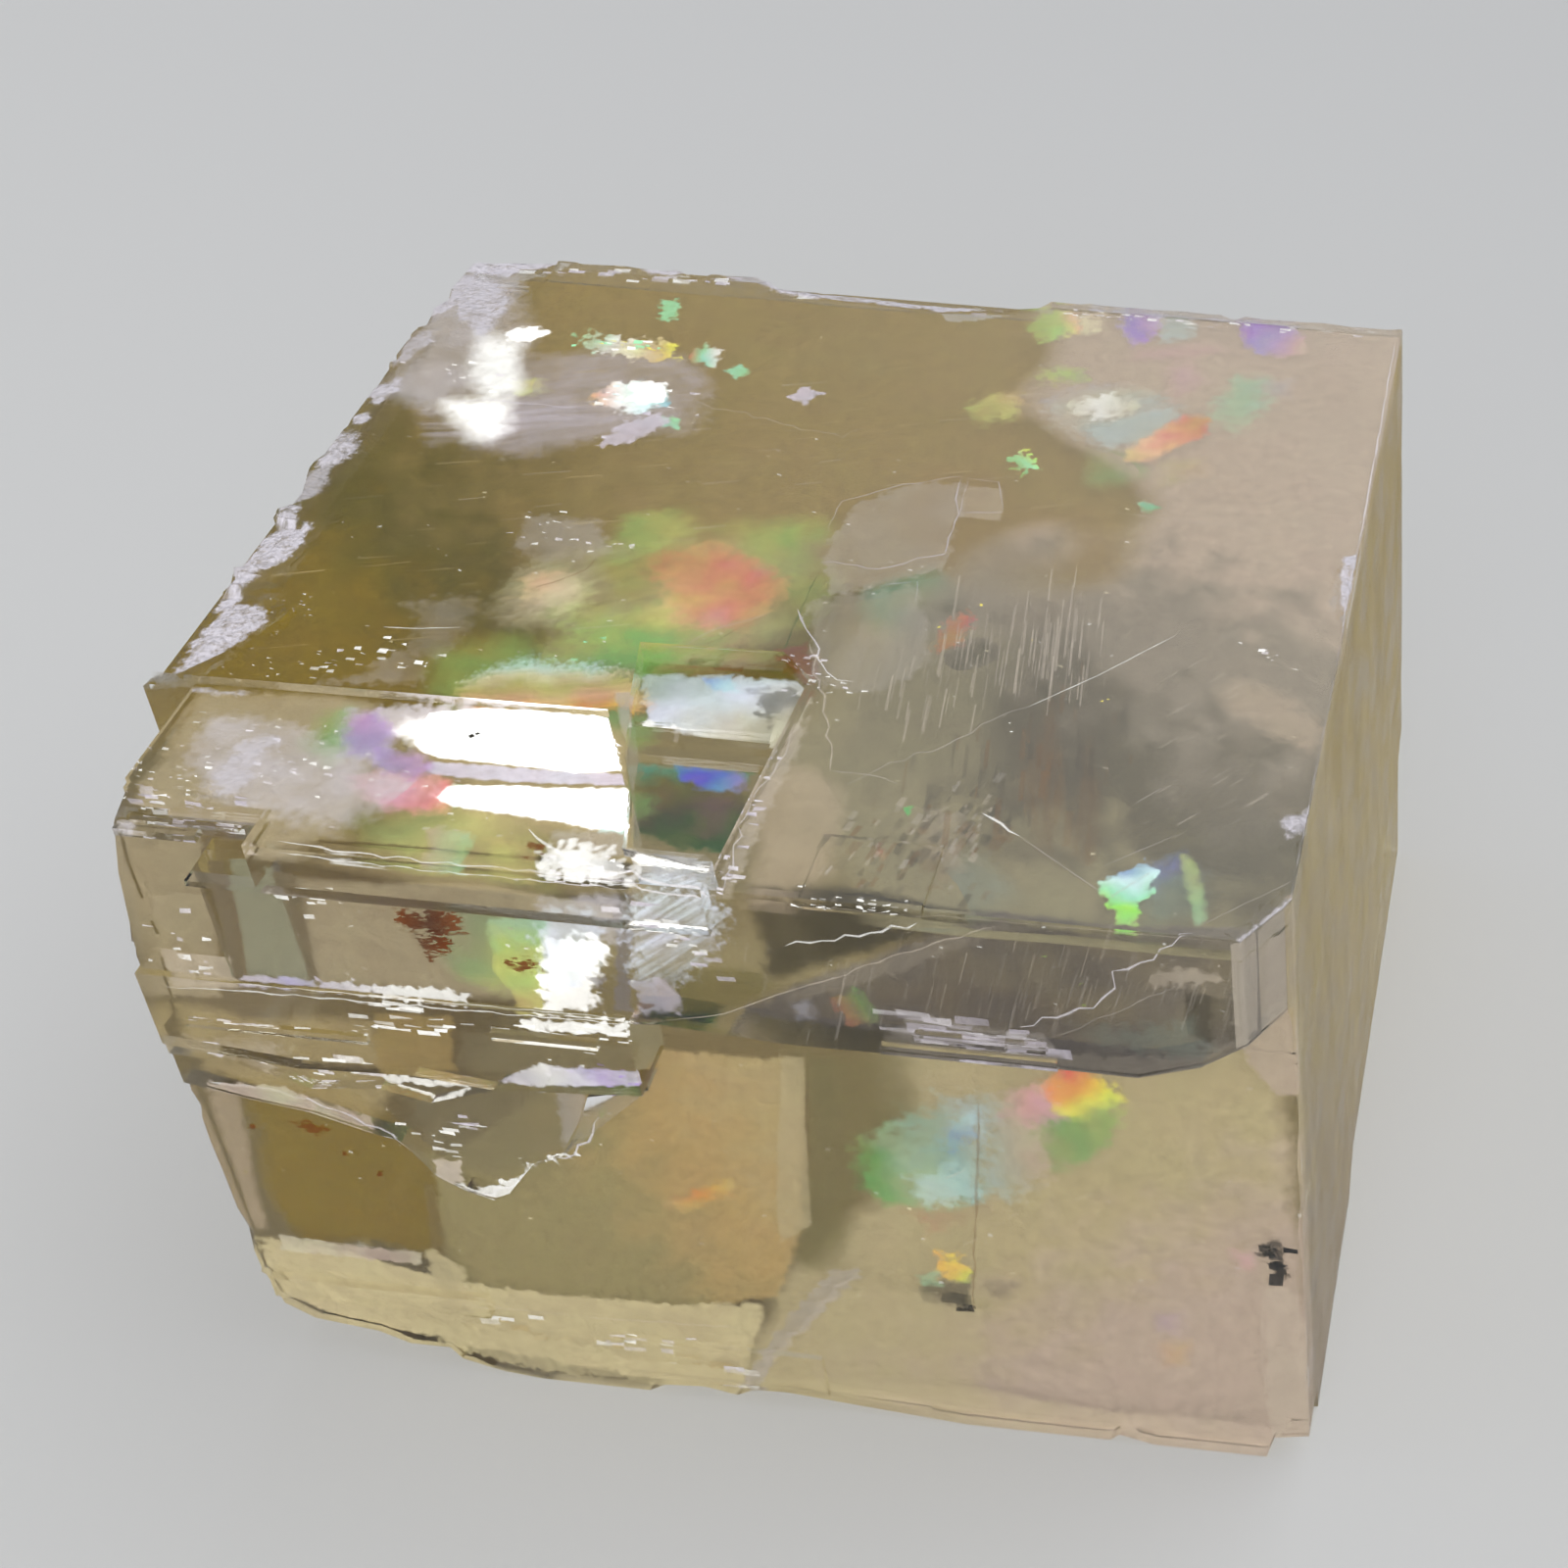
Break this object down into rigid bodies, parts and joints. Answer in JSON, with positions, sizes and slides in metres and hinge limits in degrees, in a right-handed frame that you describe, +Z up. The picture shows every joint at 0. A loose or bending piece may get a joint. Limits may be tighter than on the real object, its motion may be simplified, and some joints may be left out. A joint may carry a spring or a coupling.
{
  "type": "optical calcite crystal",
  "caption": "Transparent honey-coloured calcite cleavage rhomb with stepped layers, a broken pit and bruised edges, resting on its flat underside.",
  "frame": {"origin": "under the middle of the bounding box, on the plane that the crystal rests on", "axes": "+Z up, +X to the viewer's right along the rhomb's long edge, +Y away from the stepped front face"},
  "size_m": [0.0996, 0.076, 0.0503],
  "materials": {
    "calcite": "transparent honey-coloured calcite, polished-looking cleavage faces, whitish bruised edges",
    "iron_stain": "matt red-brown flecks of iron oxide on the front face, modelled in the scene only"
  },
  "bodies": {
    "root": {"calcite_crystal": "calcite"}
  },
  "joints": []
}
